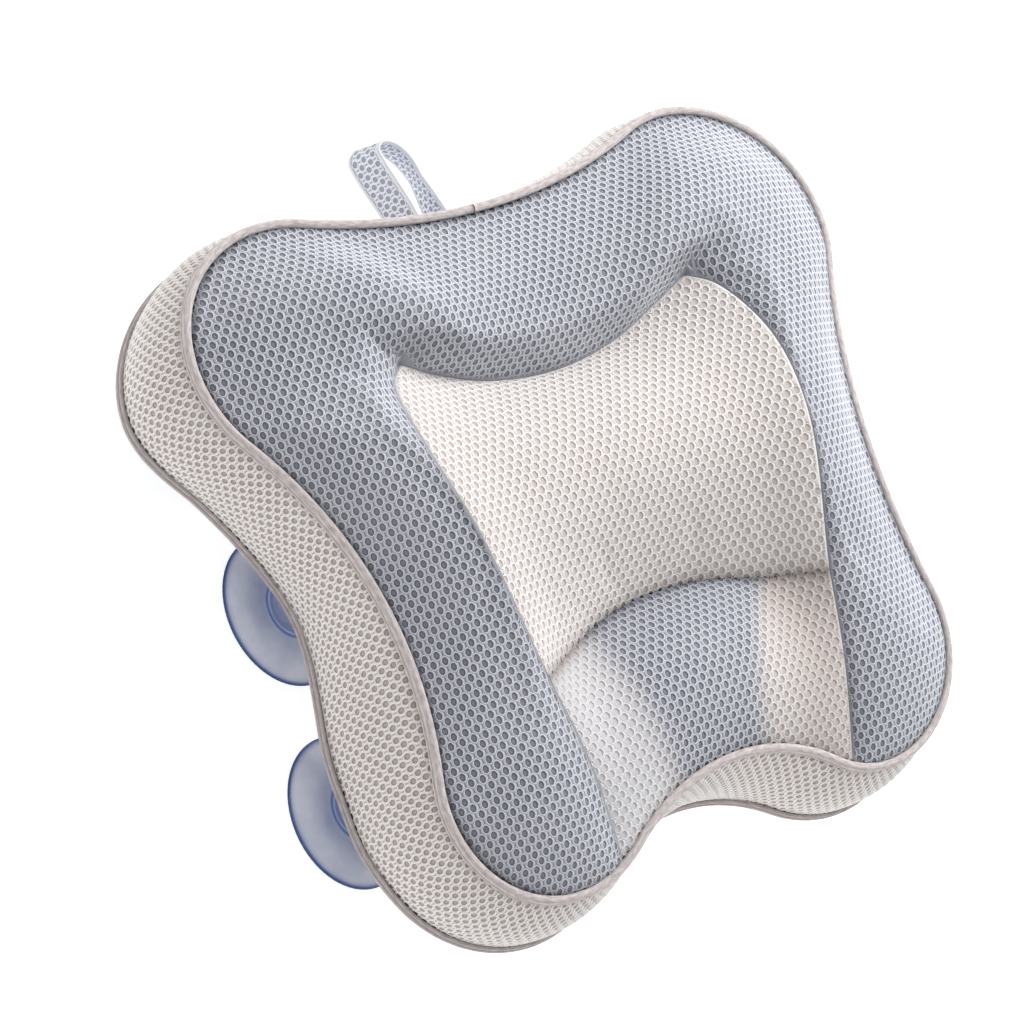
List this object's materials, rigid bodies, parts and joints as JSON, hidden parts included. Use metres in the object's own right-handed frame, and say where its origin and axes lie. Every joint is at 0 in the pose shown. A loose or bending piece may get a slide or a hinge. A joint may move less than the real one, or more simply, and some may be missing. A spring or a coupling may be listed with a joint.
{
  "type": "bath pillow",
  "caption": "Four-lobed air-mesh bath pillow with a head cradle, a neck roll, corded seams, a hanging loop and outward-leaning suction cups on the back.",
  "frame": {"origin": "middle of the plan box, level with the lowest rim of the suction cups", "axes": "+Z is the front of the pillow, +Y runs to the hanging loop, +X is to the right seen from the front"},
  "size_m": [0.3824, 0.3736, 0.1209],
  "materials": {
    "blue_mesh": "matte open spacer mesh",
    "white_mesh": "matte open spacer mesh",
    "piping_cord": "matte melange weave",
    "fibre_fill": "loose fibre",
    "loop_tape": "matte mesh tape",
    "soft_vinyl": "clear glossy soft vinyl with a blue tint",
    "eyelet_plastic": "satin"
  },
  "bodies": {
    "pillow": {"horseshoe_panel": "blue_mesh", "centre_panel": "white_mesh", "neck_panel": "white_mesh", "side_wall": "white_mesh", "back_panel": "white_mesh", "horseshoe_fill": "fibre_fill", "centre_fill": "fibre_fill", "neck_fill": "fibre_fill", "front_piping": "piping_cord", "back_piping": "piping_cord", "hanging_loop": "loop_tape", "eyelet_1": "eyelet_plastic", "eyelet_2": "eyelet_plastic", "eyelet_3": "eyelet_plastic", "eyelet_4": "eyelet_plastic", "eyelet_5": "eyelet_plastic", "eyelet_6": "eyelet_plastic", "eyelet_washer_1": "eyelet_plastic", "eyelet_washer_2": "eyelet_plastic", "eyelet_washer_3": "eyelet_plastic", "eyelet_washer_4": "eyelet_plastic", "eyelet_washer_5": "eyelet_plastic", "eyelet_washer_6": "eyelet_plastic"},
    "cup_top_left": {"suction_cup_1": "soft_vinyl"},
    "cup_top_right": {"suction_cup_2": "soft_vinyl"},
    "cup_middle_left": {"suction_cup_3": "soft_vinyl"},
    "cup_middle_right": {"suction_cup_4": "soft_vinyl"},
    "cup_bottom_left": {"suction_cup_5": "soft_vinyl"},
    "cup_bottom_right": {"suction_cup_6": "soft_vinyl"}
  },
  "joints": [
    {"name": "cup_top_left_spin", "type": "hinge", "parent": "pillow", "child": "cup_top_left", "pos_m": [-0.14155, 0.09176, 0.02882], "axis": [0.2588, 0, 0.9659], "continuous": true},
    {"name": "cup_top_right_spin", "type": "hinge", "parent": "pillow", "child": "cup_top_right", "pos_m": [0.14155, 0.09176, 0.02882], "axis": [-0.2588, 0, 0.9659], "continuous": true},
    {"name": "cup_middle_left_spin", "type": "hinge", "parent": "pillow", "child": "cup_middle_left", "pos_m": [-0.13309, -0.00374, 0.02981], "axis": [0.2588, 0, 0.9659], "continuous": true},
    {"name": "cup_middle_right_spin", "type": "hinge", "parent": "pillow", "child": "cup_middle_right", "pos_m": [0.13309, -0.00374, 0.02981], "axis": [-0.2588, 0, 0.9659], "continuous": true},
    {"name": "cup_bottom_left_spin", "type": "hinge", "parent": "pillow", "child": "cup_bottom_left", "pos_m": [-0.14216, -0.09924, 0.02977], "axis": [0.2588, 0, 0.9659], "continuous": true},
    {"name": "cup_bottom_right_spin", "type": "hinge", "parent": "pillow", "child": "cup_bottom_right", "pos_m": [0.14216, -0.09924, 0.02977], "axis": [-0.2588, 0, 0.9659], "continuous": true}
  ]
}
